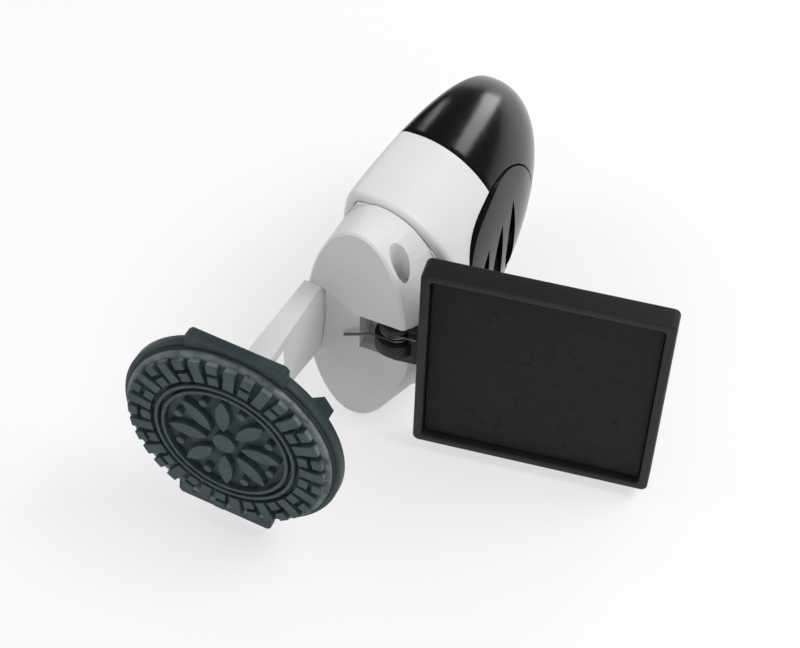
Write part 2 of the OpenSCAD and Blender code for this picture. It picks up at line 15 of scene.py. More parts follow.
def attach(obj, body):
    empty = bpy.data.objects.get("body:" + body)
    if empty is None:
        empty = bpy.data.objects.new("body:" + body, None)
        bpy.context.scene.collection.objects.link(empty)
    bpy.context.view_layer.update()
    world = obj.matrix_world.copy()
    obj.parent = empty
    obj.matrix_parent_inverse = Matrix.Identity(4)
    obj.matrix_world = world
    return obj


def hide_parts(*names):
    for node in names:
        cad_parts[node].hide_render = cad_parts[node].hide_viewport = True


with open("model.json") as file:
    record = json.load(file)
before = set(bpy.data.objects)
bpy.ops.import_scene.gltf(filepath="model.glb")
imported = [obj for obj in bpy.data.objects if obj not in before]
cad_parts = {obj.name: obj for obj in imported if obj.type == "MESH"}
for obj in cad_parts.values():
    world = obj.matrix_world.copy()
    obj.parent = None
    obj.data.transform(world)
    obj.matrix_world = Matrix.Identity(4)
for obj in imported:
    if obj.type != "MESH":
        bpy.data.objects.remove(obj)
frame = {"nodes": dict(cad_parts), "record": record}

LOG = logging.getLogger("pocket_stamp")
MM = 0.001
# The neck's middle, at its flat end, seen from the row's origin
NECK_END = Vector((-0.0144952, -0.018738, 0.0254))
# A unit vector's share along an axis from which it counts as lying along it
MOSTLY = 0.9
# The hinge's axis, in millimetres from the neck's end, and the open tray's swing in degrees
HINGE = (7.5, 3.0)
SWING = 9.25
# The power at which a superellipse is a plain oval
OVAL = 2.0

Value = Union["Wire", float, Sequence[float]]
Colour = tuple[float, float, float]
WHITE: Colour = (1.0, 1.0, 1.0)


class Side(Enum):
    """The two broad sides of the grip."""

    RIGHT = 1
    LEFT = -1


class Ends(Enum):
    """How the two open rims of a loft are closed."""

    TIPS = "tips"
    FACES = "faces"
    JOINED = "joined"


class Cut(Enum):
    """How a cutter acts on a piece."""

    AWAY = "DIFFERENCE"
    KEEP = "INTERSECT"
    JOIN = "UNION"


def spot(x: float, y: float, z: float) -> Vector:
    """Turn millimetres from the neck's end into a place in the row frame.

    Args:
        x: Millimetres towards the ink tray.
        y: Millimetres towards the dome's tip.
        z: Millimetres upwards.

    Returns:
        The place in metres.
    """
    return Vector((x, y, z)) * MM + NECK_END


def shaded(colour: Colour, share: float) -> Colour:
    """The same colour, darker or lighter by a factor."""
    return tuple(c * share for c in colour)


def spread(curve: Callable[[float], tuple[float, float]], count: int, bend: float = 3.0) -> list[float]:
    """Space points evenly along a closed curve, closer where it bends.

    Args:
        curve: The curve's point at a place from 0 to 1, in millimetres.
        count: How many points are wanted.
        bend: Millimetres that a bend of one radian counts for.

    Returns:
        The places of the points on the curve.
    """
    steps = 6000
    dots = [Vector(curve(i / steps)) for i in range(steps + 1)]
    ways = [b - a for a, b in zip(dots, dots[1:])]
    run = [0.0]
    for i, way in enumerate(ways):
        run.append(run[-1] + way.length + bend * abs(way.angle_signed(ways[i - 1], 0.0)))
    places, at = [], 0
    for i in range(count):
        while run[at + 1] < run[-1] * i / count:
            at += 1
        places.append(at / steps)
    return places


class Wire:
    """A shader socket that takes part in Python expressions."""

    def __init__(self, sheet: "Sheet", socket: bpy.types.NodeSocket) -> None:
        """Keep the socket and the node tree it belongs to."""
        self.sheet = sheet
        self.socket = socket

    def _math(self, operation: str, *values: Value) -> "Wire":
        """Add one Math node.

        Args:
            operation: The Math node's operation.
            values: Its inputs in order.

        Returns:
            The node's result.
        """
        return self.sheet.node("ShaderNodeMath", {"operation": operation}, dict(enumerate(values)))

    def __add__(self, other: Value) -> "Wire":
        """Sum."""
        return self._math("ADD", self, other)

    __radd__ = __add__

    def __mul__(self, other: Value) -> "Wire":
        """Product."""
        return self._math("MULTIPLY", self, other)

    __rmul__ = __mul__

    def __sub__(self, other: Value) -> "Wire":
        """Difference."""
        return self._math("SUBTRACT", self, other)

    def __rsub__(self, other: Value) -> "Wire":
        """Difference the other way round."""
        return self._math("SUBTRACT", other, self)

    def most(self, other: Value) -> "Wire":
        """The larger of two."""
        return self._math("MAXIMUM", self, other)

    def root(self) -> "Wire":
        """Square root."""
        return self._math("SQRT", self)

    def wave(self) -> "Wire":
        """Sine."""
        return self._math("SINE", self)

    def step(self, low: float, high: float) -> "Wire":
        """Smooth step from 0 at low to 1 at high.

        Args:
            low: The value that gives 0.
            high: The value that gives 1.

        Returns:
            The stepped value.
        """
        inputs = {0: self, 1: low, 2: high, 3: 0.0, 4: 1.0}
        return self.sheet.node("ShaderNodeMapRange", {"interpolation_type": "SMOOTHSTEP"}, inputs)


class Sheet:
    """A node tree that is filled through expressions."""

    def __init__(self, tree: bpy.types.NodeTree, space: str = "Object") -> None:
        """Keep the tree and add its coordinates in that space."""
        self.tree = tree
        self.coords = self.node("ShaderNodeTexCoord", {}, {}, space)

    def node(
        self,
        kind: str,
        settings: dict[str, Any],
        inputs: dict[Union[int, str], Value],
        output: Union[int, str] = 0,
    ) -> Wire:
        """Add one node.

        Args:
            kind: The node's type name.
            settings: Properties that are set before its sockets.
            inputs: Values or links by socket name or number.
            output: The socket that is returned.

        Returns:
            The chosen output as a wire.
        """
        made = self.tree.nodes.new(kind)
        for key, value in settings.items():
            setattr(made, key, value)
        for key, value in inputs.items():
            self.plug(made.inputs[key], value)
        return Wire(self, made.outputs[output])

    def plug(self, socket: bpy.types.NodeSocket, value: Value) -> None:
        """Link a wire to a socket, or set the socket's own value."""
        if isinstance(value, Wire):
            self.tree.links.new(value.socket, socket)
        elif isinstance(value, (int, float)):
            socket.default_value = value
        else:
            opaque = len(socket.default_value) - len(value)
            socket.default_value = (*value, *[1.0] * opaque)

    def axis(self, name: str, vector: Optional[Wire] = None) -> Wire:
        """One axis of the tree's coordinates, or of another vector."""
        return self.node("ShaderNodeSeparateXYZ", {}, {0: vector or self.coords}, name)


class Paint(Sheet):
    """One material's node tree, with a Principled shader at its end."""

    def __init__(self, name: str) -> None:
        """Start an empty material of that name."""
        self.material = bpy.data.materials.new(name)
        self.material.use_nodes = True
        tree = self.material.node_tree
        tree.nodes.clear()
        super().__init__(tree)
        output = tree.nodes.new("ShaderNodeOutputMaterial")
        self.shader = tree.nodes.new("ShaderNodeBsdfPrincipled")
        tree.links.new(self.shader.outputs[0], output.inputs["Surface"])

    def set(self, **values: Value) -> None:
        """Set shader sockets by name, with underscores for spaces."""
        for key, value in values.items():
            self.plug(self.shader.inputs[key.replace("_", " ")], value)

    def turned(self, scale: Sequence[float], turn: float = 0.0) -> Wire:
        """Object coordinates, scaled, and turned about Z by some radians."""
        inputs = {"Vector": self.coords, "Rotation": (0, 0, turn), "Scale": scale}
        return self.node("ShaderNodeMapping", {}, inputs)

    def noise(
        self, per_metre: float, detail: float = 3.0, rough: float = 0.5, vector: Optional[Wire] = None
    ) -> Wire:
        """Noise over the piece.

        Args:
            per_metre: Features in a metre.
            detail: Octaves.
            rough: Weight of the finer octaves.
            vector: Other coordinates to read.

        Returns:
            Noise from 0 to 1.
        """
        inputs = {"Vector": vector or self.coords, "Scale": per_metre, "Detail": detail, "Roughness": rough}
        return self.node("ShaderNodeTexNoise", {}, inputs)

    def cells(self, per_metre: float) -> Wire:
        """Distance to the nearest of many scattered points."""
        return self.node("ShaderNodeTexVoronoi", {}, {"Vector": self.coords, "Scale": per_metre}, "Distance")

    def mix(self, mask: Value, low: Value, high: Value) -> Wire:
        """Mix two colours.

        Args:
            mask: Share of the second colour.
            low: First colour.
            high: Second colour.

        Returns:
            The mixed colour.
        """
        return self.node("ShaderNodeMix", {"data_type": "RGBA"}, {0: mask, 6: low, 7: high}, 2)

    def bump(self, height: Wire, strength: float, depth: float, base: Optional[Wire] = None) -> Wire:
        """Turn a height into a normal.

        Args:
            height: Height from 0 to 1.
            strength: Share of the effect.
            depth: Height of 1 in metres.
            base: A normal to add to.

        Returns:
            The bent normal.
        """
        inputs: dict[Union[int, str], Value] = {"Height": height, "Strength": strength, "Distance": depth}
        if base is not None:
            inputs["Normal"] = base
        return self.node("ShaderNodeBump", {}, inputs)


@dataclass(frozen=True)
class GlossBlack:
    """Polished black moulding with faint haze and dust."""

    tone: float = 0.0045
    shine: float = 0.14

    def paint(self) -> bpy.types.Material:
        """Make the material."""
        p = Paint("gloss_black")
        haze = p.noise(160, 4)
        specks = p.cells(900).step(0.10, 0.05)
        base = p.mix(haze, (self.tone, self.tone, self.tone * 1.05), (self.tone * 1.6,) * 3)
        p.set(Base_Color=p.mix(specks * 0.04, base, (0.08, 0.08, 0.08)))
        p.set(Roughness=self.shine + haze * 0.07 + specks * 0.10, Specular_IOR_Level=0.22)
        p.set(Normal=p.bump(p.noise(260, 2), 0.06, 0.0004))
        return p.material


@dataclass(frozen=True)
class SatinWhite:
    """Off-white satin moulding with a fine spark-eroded grain."""

    tone: Colour = (0.735, 0.730, 0.735)

    def paint(self) -> bpy.types.Material:
        """Make the material."""
        p = Paint("satin_white")
        cloud = p.noise(70, 3)
        grain = p.noise(5200, 2)
        shade = shaded(self.tone, 0.95)
        p.set(Base_Color=p.mix(cloud.step(0.35, 0.7) * 0.7 + grain * 0.12, self.tone, shade))
        p.set(Roughness=0.36 + cloud * 0.10 + grain * 0.06, Specular_IOR_Level=0.5)
        p.set(Normal=p.bump(grain, 0.12, 0.00004))
        return p.material


@dataclass(frozen=True)
class Charcoal:
    """Charcoal moulding with a fine grain and faint rubbed marks."""

    tone: Colour = (0.011, 0.0115, 0.0115)

    def paint(self) -> bpy.types.Material:
        """Make the material."""
        p = Paint("charcoal_plastic")
        grain = p.noise(4200, 3, 0.6)
        rubbed = p.noise(120, 5, 0.65).step(0.52, 0.75)
        lit = shaded(self.tone, 1.7)
        p.set(Base_Color=p.mix(rubbed * 0.55 + grain * 0.25, self.tone, lit))
        p.set(Roughness=0.42 + grain * 0.16 - rubbed * 0.06, Specular_IOR_Level=0.3)
        p.set(Normal=p.bump(grain, 0.30, 0.00006))
        return p.material


@dataclass(frozen=True)
class InkFelt:
    """Ink-soaked pad cloth: blotched, with a close weave and pressed dents."""

    dry: Colour = (0.020, 0.0225, 0.0250)
    wet: Colour = (0.0080, 0.0095, 0.0112)
    thread: float = 2600.0
    turn: float = math.radians(SWING)

    def paint(self) -> bpy.types.Material:
        """Make the material."""
        p = Paint("ink_felt")
        lined = p.turned((1, 1, 1), -self.turn)
        warp = (p.axis("X", lined) * self.thread * math.tau).wave()
        weft = (p.axis("Z", lined) * self.thread * math.tau).wave()
        weave = (warp * weft) * 0.5 + 0.5
        blots = p.noise(110, 6, 0.62)
        stains = p.noise(420, 4, 0.6).step(0.55, 0.72)
        fuzz = p.noise(3000, 2)
        soaked = blots.step(0.36, 0.64)
        base = p.mix(soaked, self.wet, self.dry)
        p.set(Base_Color=p.mix(stains * 0.5, base, shaded(self.wet, 0.6)))
        p.set(Roughness=0.52 + soaked * 0.30 + weave * 0.08, Specular_IOR_Level=0.16)
        dents = p.bump(p.noise(300, 3), 0.35, 0.0005)
        p.set(Normal=p.bump(weave * 0.6 + fuzz * 0.6, 0.45, 0.00008, dents))
        return p.material


@dataclass(frozen=True)
class PlatePlastic:
    """Dark grey-green moulding of the plate and its holder."""

    tone: Colour = (0.021, 0.038, 0.040)

    def paint(self) -> bpy.types.Material:
        """Make the material."""
        p = Paint("plate_plastic")
        grain = p.noise(3600, 3, 0.6)
        cloud = p.noise(150, 4).step(0.4, 0.75)
        lit = shaded(self.tone, 1.7)
        p.set(Base_Color=p.mix(cloud * 0.6 + grain * 0.15, self.tone, lit))
        p.set(Roughness=0.38 + grain * 0.16 + cloud * 0.06, Specular_IOR_Level=0.3)
        p.set(Normal=p.bump(grain, 0.20, 0.00005))
        return p.material


@dataclass(frozen=True)
class DieRubber:
    """Cut grey-green rubber: matt, pitted with painted shade in the pits, with a painted highlight along the
    sheet's rim, and worn on the print.
    """

    low: Colour = (0.024, 0.043, 0.046)
    high: Colour = (0.062, 0.098, 0.104)
    # Colour of the painted highlight along the sheet's rim
    pale: Colour = (0.21, 0.255, 0.265)
    centre: tuple[float, float] = (-0.0232952, 0.0254)
    face_y: float = -0.054538
    rim_r: float = 0.0205

    def paint(self) -> bpy.types.Material:
        """Make the material."""
        p = Paint("die_rubber")
        x = p.axis("X") - self.centre[0]
        z = p.axis("Z") - self.centre[1]
        radius = (x * x + z * z).root()
        grain = p.noise(2400, 4, 0.65)
        cloud = p.noise(260, 4, 0.6)
        pits = p.cells(1500).step(0.22, 0.06)
        print_top = p.axis("Y").step(self.face_y + 0.0005, self.face_y + 0.0001)
        # Painted highlight: a pale ring along the sheet's rim, where its edge catches the light, broken up by
        # the cloud
        rim = radius.step(self.rim_r - 0.0016, self.rim_r - 0.0006) * (1 - print_top)
        body = p.mix(cloud.step(0.35, 0.7) * 0.7 + grain * 0.3, self.low, self.high)
        worn = p.mix(print_top * 0.5, body, (0.064, 0.100, 0.105))
        rim_highlight = p.mix(rim * (cloud.step(0.30, 0.62) * 0.6 + 0.25), worn, self.pale)
        # The pits are painted darker: painted shade in the dents
        p.set(Base_Color=p.mix(pits * 0.45, rim_highlight, shaded(self.low, 0.45)))
        p.set(Roughness=0.56 + grain * 0.22, Specular_IOR_Level=0.25)
        p.set(Normal=p.bump(grain * 0.7 - pits * 0.8, 0.50, 0.00012))
        return p.material


@dataclass(frozen=True)
class CushionFoam:
    """Closed-cell foam sheet with fine pores, which are painted darker as painted shade in them."""

    tone: Colour = (0.024, 0.040, 0.042)

    def paint(self) -> bpy.types.Material:
        """Make the material."""
        p = Paint("cushion_foam")
        pores = p.cells(4200).step(0.5, 0.1)
        cloud = p.noise(500, 3)
        # The pores are painted darker: painted shade in the dents
        p.set(Base_Color=p.mix(pores * 0.6 + cloud * 0.2, self.tone, shaded(self.tone, 0.4)))
        p.set(Roughness=0.78 + cloud * 0.1)
        p.set(Normal=p.bump(1 - pores, 0.5, 0.0001))
        return p.material


@dataclass(frozen=True)
class DrawnSteel:
    """Drawn steel wire and pins, with fine lines along them and a film of oil."""

    tone: Colour = (0.20, 0.20, 0.205)
    shine: float = 0.30

    def paint(self) -> bpy.types.Material:
        """Make the material."""
        p = Paint("drawn_steel")
        lines = p.noise(1, 2, 0.5, p.turned((9000, 9000, 500)))
        film = p.noise(400, 3)
        p.set(Base_Color=p.mix(film.step(0.4, 0.7), self.tone, shaded(self.tone, 0.55)))
        p.set(Metallic=1.0, Roughness=self.shine + film * 0.16 + lines * 0.08)
        p.set(Normal=p.bump(lines, 0.15, 0.00003))
        return p.material


class Bench:
    """The modelling bench: small steps that every piece is made with."""

    @staticmethod
    def clear() -> None:
        """Leave edit mode and select nothing."""
        if bpy.context.object and bpy.context.object.mode != "OBJECT":
            bpy.ops.object.mode_set(mode="OBJECT")
        bpy.ops.object.select_all(action="DESELECT")

    @classmethod
    def take(cls, obj: bpy.types.Object) -> bpy.types.Object:
        """Select one object alone and make it active."""
        cls.clear()
        obj.select_set(True)
        bpy.context.view_layer.objects.active = obj
        return obj

    @classmethod
    def edit(cls, obj: bpy.types.Object, kind: str = "FACE") -> None:
        """Open an object in edit mode with nothing selected.

        Args:
            obj: The object.
            kind: VERT, EDGE or FACE selection.
        """
        cls.take(obj)
        bpy.ops.object.mode_set(mode="EDIT")
        bpy.ops.mesh.select_mode(type=kind)
        bpy.ops.mesh.select_all(action="DESELECT")

    @staticmethod
    def done() -> None:
        """Back to object mode."""
        bpy.ops.object.mode_set(mode="OBJECT")

    @staticmethod
    def pick(obj: bpy.types.Object, kind: str, test: Callable[[Any], bool]) -> None:
        """Select some parts of a mesh in edit mode.

        Args:
            obj: The object, open in edit mode.
            kind: verts, edges or faces.
            test: Says whether one of them is picked.
        """
        mesh = bmesh.from_edit_mesh(obj.data)
        for part in getattr(mesh, kind):
            part.select_set(test(part))
        if kind == "verts":
            mesh.select_flush(True)
        bmesh.update_edit_mesh(obj.data)

    @classmethod
    def modify(cls, obj: bpy.types.Object, kind: str, **settings: Any) -> None:
        """Add a modifier, set it and apply it.

        Args:
            obj: The object.
            kind: The modifier's type.
            settings: Its properties.
        """
        cls.take(obj)
        made = obj.modifiers.new(kind.lower(), kind)
        for key, value in settings.items():
            setattr(made, key, value)
        bpy.ops.object.modifier_apply(modifier=made.name)

    @classmethod
    def cut(cls, obj: bpy.types.Object, cutter: bpy.types.Object, how: Cut, keep: bool = False) -> None:
        """Cut a piece with another solid.

        Args:
            obj: The piece.
            cutter: The other solid.
            how: What the cutter does.
            keep: Whether the cutter is kept for later.
        """
        cls.modify(obj, "BOOLEAN", object=cutter, operation=how.value, solver="EXACT")
        if not keep:
            bpy.data.objects.remove(cutter)

    @classmethod
    def settle(cls, obj: bpy.types.Object) -> None:
        """Put an object's place into its mesh."""
        cls.take(obj)
        bpy.ops.object.transform_apply(location=True, rotation=True, scale=True)

    @classmethod
    def outward(cls, obj: bpy.types.Object, weld: float = 1e-7) -> None:
        """Merge doubles and point all faces outwards."""
        cls.edit(obj, "VERT")
        bpy.ops.mesh.select_all(action="SELECT")
        bpy.ops.mesh.remove_doubles(threshold=weld)
        bpy.ops.mesh.normals_make_consistent(inside=False)
        cls.done()

    @classmethod
    def smooth(cls, obj: bpy.types.Object, degrees: float = 32.0) -> None:
        """Shade smooth where faces meet at less than an angle."""
        cls.take(obj)
        bpy.ops.object.shade_smooth_by_angle(angle=math.radians(degrees))

    @classmethod
    def soften(cls, obj: bpy.types.Object, width: float, steps: int = 3, degrees: float = 38.0) -> None:
        """Round the sharp edges of a piece.

        Args:
            obj: The piece.
            width: Width of the rounding in metres.
            steps: Faces across the rounding.
            degrees: Edges sharper than this are rounded.
        """
        cls.modify(
            obj, "BEVEL", width=width, segments=steps, use_clamp_overlap=True, miter_outer="MITER_ARC",
            limit_method="ANGLE", angle_limit=math.radians(degrees),
        )

    @classmethod
    def twin(cls, node: str, name: str, flat: float = 0.4) -> bpy.types.Object:
        """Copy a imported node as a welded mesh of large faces.

        Args:
            node: The node's name.
            name: The new piece's name.
            flat: Faces within this angle in degrees are joined.

        Returns:
            The new object.
        """
        made = frame["nodes"][node].copy()
        made.data = made.data.copy()
        made.name = name
        made.parent = None
        for key in list(made.keys()):
            del made[key]
        bpy.context.scene.collection.objects.link(made)
        made.data.materials.clear()
        cls.edit(made, "VERT")
        bpy.ops.mesh.select_all(action="SELECT")
        bpy.ops.mesh.customdata_custom_splitnormals_clear()
        bpy.ops.mesh.remove_doubles(threshold=2e-6)
        bpy.ops.mesh.dissolve_limited(angle_limit=math.radians(flat))
        cls.done()
        return made

    @classmethod
    def choose(cls, obj: bpy.types.Object, *rings: Sequence[Vector]) -> None:
        """Select the points of some rings alone, in edit mode.

        Args:
            obj: The object, open in edit mode.
            rings: The rings' points.
        """
        wanted = {tuple(point) for ring in rings for point in ring}
        bpy.ops.mesh.select_all(action="DESELECT")
        cls.pick(obj, "verts", lambda vertex: tuple(vertex.co) in wanted)

    @classmethod
    def loft(cls, name: str, rings: Sequence[Sequence[Vector]], ends: Ends) -> bpy.types.Object:
        """Extrude a closed outline through a row of rings.

        Args:
            name: The object's name.
            rings: The points of each ring, in metres, as many in each.
            ends: How the two open rims are closed.

        Returns:
            The new solid.
        """
        cls.clear()
        bpy.ops.mesh.primitive_circle_add(vertices=len(rings[0]), radius=1.0)
        obj = bpy.context.object
        obj.name = name
        for vertex, point in zip(obj.data.vertices, rings[0]):
            vertex.co = point
        cls.edit(obj, "VERT")
        bpy.ops.mesh.select_all(action="SELECT")
        for before, ring in zip(rings, rings[1:]):
            bpy.ops.mesh.extrude_region_move(TRANSFORM_OT_translate={"value": (0, 0, 0)})
            follow = {tuple(a): b for a, b in zip(before, ring)}
            mesh = bmesh.from_edit_mesh(obj.data)
            for vertex in mesh.verts:
                if vertex.select:
                    vertex.co = follow[tuple(vertex.co)]
            bmesh.update_edit_mesh(obj.data)
        if ends is Ends.JOINED:
            cls.choose(obj, rings[0], rings[-1])
            bpy.ops.mesh.bridge_edge_loops()
        else:
            for rim in (rings[0], rings[-1]):
                cls.choose(obj, rim)
                if ends is Ends.TIPS:
                    bpy.ops.mesh.merge(type="CENTER")
                else:
                    bpy.ops.mesh.edge_face_add()
        cls.done()
        cls.outward(obj)
        return obj

    @classmethod
    def prism(cls, name: str, outline: Sequence[Vector], push: Vector) -> bpy.types.Object:
        """Extrude a flat outline.

        Args:
            name: The object's name.
            outline: Points in order, in metres.
            push: The extrusion.

        Returns:
            The new solid.
        """
        cls.clear()
        bpy.ops.mesh.primitive_circle_add(vertices=len(outline), radius=1.0, fill_type="NGON")
        obj = bpy.context.object
        obj.name = name
        for vertex, point in zip(obj.data.vertices, outline):
            vertex.co = point
        cls.edit(obj)
        bpy.ops.mesh.select_all(action="SELECT")
        bpy.ops.mesh.extrude_region_move(TRANSFORM_OT_translate={"value": push})
        cls.done()
        cls.outward(obj)
        return obj


@dataclass
class Piece:
    """A finished piece with what it rides on and stands for."""

    obj: bpy.types.Object
    body: str
    slot: str
    nodes: tuple[str, ...]

    def hand_in(self, material: bpy.types.Material) -> bpy.types.Object:
        """Dress the piece and tie it to its body.

        Args:
            material: Its finish.

        Returns:
            The dressed object.
        """
        self.obj.data.materials.clear()
        self.obj.data.materials.append(material)
        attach(self.obj, self.body)
        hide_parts(*self.nodes)
        LOG.info("%s rides on %s", self.obj.name, self.body)
        return self.obj


@dataclass
class Grip:
    """The grip, flat on one side and arched on the other: dome, sleeve and both thumb buttons.

    Lengths are in millimetres, and angles in degrees.
    """

    shift: float = -2.25
    lean: float = 0.03
    base: float = 5.3
    arch: float = 21.5
    half_w: float = 25.4
    base_full: float = 4.5
    length: float = 63.9
    power: float = 2 / 2.075
    mouth: float = 9.4
    seam: float = 30.2
    seam_gap: float = 0.15
    wall: float = 1.8
    lip: float = 1.2
    last_turn: float = 88.4
    inner_turn: float = 87.0
    hollow_turn: float = 86.0
    sides: int = 200
    core_x: float = 6.06205
    core_half: float = 4.6
    button_y: float = 28.096
    button_ends: tuple[float, float] = (16.296, 22.504)
    button_half: float = 15.3
    button_full: tuple[float, float] = (3.0, 2.16)
    button_start: float = 3.0667
    button_gap: float = 0.35
    button_back: float = 3.35
    button_dish: float = 0.8
    button_edge: float = 0.4
    skin_fade: tuple[float, float] = (32.0, 8.0)
    skin_full: float = 0.5
    skin_turns: tuple[float, float] = (0.0, 72.0)
    edge: float = 0.22
    edge_sharp: float = 50.0
    crease: float = 28.0
    lead: float = 2.0
    flange: float = 1.1
    stem: tuple[float, float, float] = (2.4, 1.8, 9.9)
    seat: tuple[float, float, float] = (4.0, 8.917, 10.917)
    through: float = 26.8
    groove_depth: float = 0.9
    groove_first: float = -5.82
    groove_pitch: float = 7.4615
    groove_half: float = 8.874
    groove_sags: tuple[float, float] = (6.2, 1.3)
    groove_count: int = 3
    groove_steps: int = 32

    def __post_init__(self) -> None:
        """Settle where the points of every section lie."""
        self.around = spread(
            lambda t: self.flat_point(t, self.base, self.arch, OVAL, self.half_w), self.sides
        )

    def flat_point(self, t: float, base: float, arch: float, full: float, high: float) -> tuple[float, float]:
        """One point of a section.

        Args:
            t: Place round the section, from 0 to 1.
            base: Half size towards the flat side.
            arch: Half size towards the arched side.
            full: Fullness of the arch, as the power of a superellipse.
            high: Half height.

        Returns:
            Its x and z.
        """
        c, s = math.cos(math.tau * t), math.sin(math.tau * t)
        power = 2 / (self.base_full if c < 0 else full)
        reach = base if c < 0 else arch
        return (reach * math.copysign(abs(c) ** power, c), high * math.copysign(abs(s) ** power, s))

    def section(self, x: float, base: float, arch: float, full: float, y: float, high: float) -> list[Vector]:
        """A whole section at a place along the grip.

        Args:
            x: Its widest line.
            base: Half size towards the flat side.
            arch: Half size towards the arched side.
            full: Fullness of the arch.
            y: Its place along the grip.
            high: Half height.

        Returns:
            Its points in the row frame.
        """
        flat = [self.flat_point(t, base, arch, full, high) for t in self.around]
        return [spot(x + px, y, pz) for px, pz in flat]

    def turn_at(self, y: float, grow: float = 0.0) -> float:
        """Section angle, in degrees, at a place along the grip."""
        return math.degrees(math.asin(((y - self.mouth) / (self.length + grow)) ** (1 / self.power)))

    def ring(self, turn: float, grow: float = 0.0) -> list[Vector]:
        """One section of the egg.

        Args:
            turn: Section angle in degrees.
            grow: How far the whole egg is grown.

        Returns:
            Its points.
        """
        k = math.cos(math.radians(turn)) ** self.power
        y = (self.length + grow) * math.sin(math.radians(turn)) ** self.power
        return self.section(
            self.shift + self.lean * y, (self.base + grow) * k, (self.arch + grow) * k, OVAL,
            self.mouth + y, (self.half_w + grow) * k,
        )

    def skin_ring(self, turn: float, grow: float) -> list[Vector]:
        """One section of the buttons' skin: flush with the dome, flatter and crisper towards the mouth.

        Args:
            turn: Section angle in degrees.
            grow: How far the skin is grown.

        Returns:
            Its points.
        """
        k = math.cos(math.radians(turn)) ** self.power
        y = self.length * math.sin(math.radians(turn)) ** self.power
        last, first = self.skin_fade
        f = max(0.0, min(1.0, (last - turn) / (last - first)))
        f = f * f * (3 - 2 * f)
        edge = self.button_edge * f + grow
        return self.section(
            self.shift + self.lean * y, self.base * k + edge,
            self.arch * k - self.button_dish * f + grow, OVAL + self.skin_full * f,
            self.mouth + y, self.half_w * k + edge,
        )

    @staticmethod
    def turns(first: float, last: float, count: int) -> list[float]:
        """Section angles in even steps."""
        return [first + (last - first) * i / count for i in range(count + 1)]

    @staticmethod
    def ahead(ring: Sequence[Vector]) -> list[Vector]:
        """The same section a little in front of the mouth."""
        return [point - Vector((0, Grip.lead * MM, 0)) for point in ring]

    def oval_point(self, t: float, grow: float) -> tuple[float, float]:
        """One point of a button's outline, along and across the grip."""
        c, s = math.cos(math.tau * t), math.sin(math.tau * t)
        half = 0 if c < 0 else 1
        end, full = self.button_ends[half], self.button_full[half]
        return (
            (end + grow) * math.copysign(abs(c) ** (2 / full), c),
            (self.button_half + grow) * math.copysign(abs(s) ** (2 / full), s),
        )

    def oval(self, name: str, grow: float, side: Side) -> bpy.types.Object:
        """Solid with a button's outline that reaches sideways through the shells.

        Args:
            name: The object's name.
            grow: Added to the outline all round.
            side: The side that it is on.

        Returns:
            The solid.
        """
        flat = [self.oval_point(t, grow) for t in spread(lambda t: self.oval_point(t, grow), 160)]
        x = self.core_x + side.value * self.button_start
        outline = [spot(x, self.button_y + py, pz) for py, pz in flat]
        return Bench.prism(name, outline, Vector((side.value * self.through * MM, 0, 0)))

    def holes(self, shell: bpy.types.Object) -> None:
        """Cut both button holes into a shell and finish its edges."""
        for side in Side:
            Bench.cut(shell, self.oval("oval_cutter", self.button_gap, side), Cut.AWAY)
        Bench.soften(shell, self.edge * MM, 3, self.edge_sharp)
        Bench.smooth(shell, self.crease)

    def dome(self) -> Piece:
        """Glossy rear shell."""
        start = self.seam + self.seam_gap
        outer = [self.ring(t) for t in self.turns(self.turn_at(start), self.last_turn, 44)]
        inside = self.turn_at(start, -self.wall)
        inner = [self.ring(t, -self.wall) for t in self.turns(inside, self.inner_turn, 24)]
        shell = Bench.loft("grip_dome", [*reversed(outer), *inner], Ends.TIPS)
        self.holes(shell)
        return Piece(shell, "grip", "black_gloss", ("handle_dome",))

    def sleeve(self) -> Piece:
        """White front shell with its rounded mouth."""
        rings = []
        for a in self.turns(0, 90, 6)[:-1]:
            drop = self.lip * (math.sin(math.radians(a)) - 1)
            y = self.mouth + self.lip * (1 - math.cos(math.radians(a)))
            rings.append(
                self.section(self.shift, self.base + drop, self.arch + drop, OVAL, y, self.half_w + drop)
            )
        front = self.turn_at(self.mouth + self.lip)
        rings += [self.ring(t) for t in self.turns(front, self.turn_at(self.seam), 16)]
        back = self.turn_at(self.seam, -self.wall)
        rings += [self.ring(t, -self.wall) for t in reversed(self.turns(0, back, 10))]
        shell = Bench.loft("grip_sleeve", rings, Ends.JOINED)
        self.holes(shell)
        return Piece(shell, "grip", "white_shell", ("handle_sleeve",))

    def skin(self, grow: float) -> bpy.types.Object:
        """Solid under the buttons' outer skin, grown by some millimetres."""
        rings = [self.skin_ring(t, grow) for t in self.turns(*self.skin_turns, 48)]
        return Bench.loft("button_skin", [self.ahead(rings[0]), *rings], Ends.FACES)

    def hollow(self, depth: float) -> bpy.types.Object:
        """Solid of the space at some depth under the grip's surface."""
        rings = [self.ring(t, -depth) for t in self.turns(0, self.hollow_turn, 36)]
        return Bench.loft("grip_space", [self.ahead(rings[0]), *rings], Ends.FACES)

    def rod(self, radius: float, start: float, end: float, side: Side) -> bpy.types.Object:
        """Round rod behind a button, across the grip.

        Args:
            radius: Its radius.
            start: Where it starts, from the middle of the core.
            end: Where it ends.
            side: The side that it is on.

        Returns:
            The rod.
        """
        Bench.clear()
        bpy.ops.mesh.primitive_cylinder_add(
            vertices=48, radius=radius * MM, depth=(end - start) * MM, rotation=(0, math.pi / 2, 0),
            location=spot(self.core_x + side.value * (start + end) / 2, self.button_y, 0),
        )
        rod = bpy.context.object
        Bench.settle(rod)
        return rod

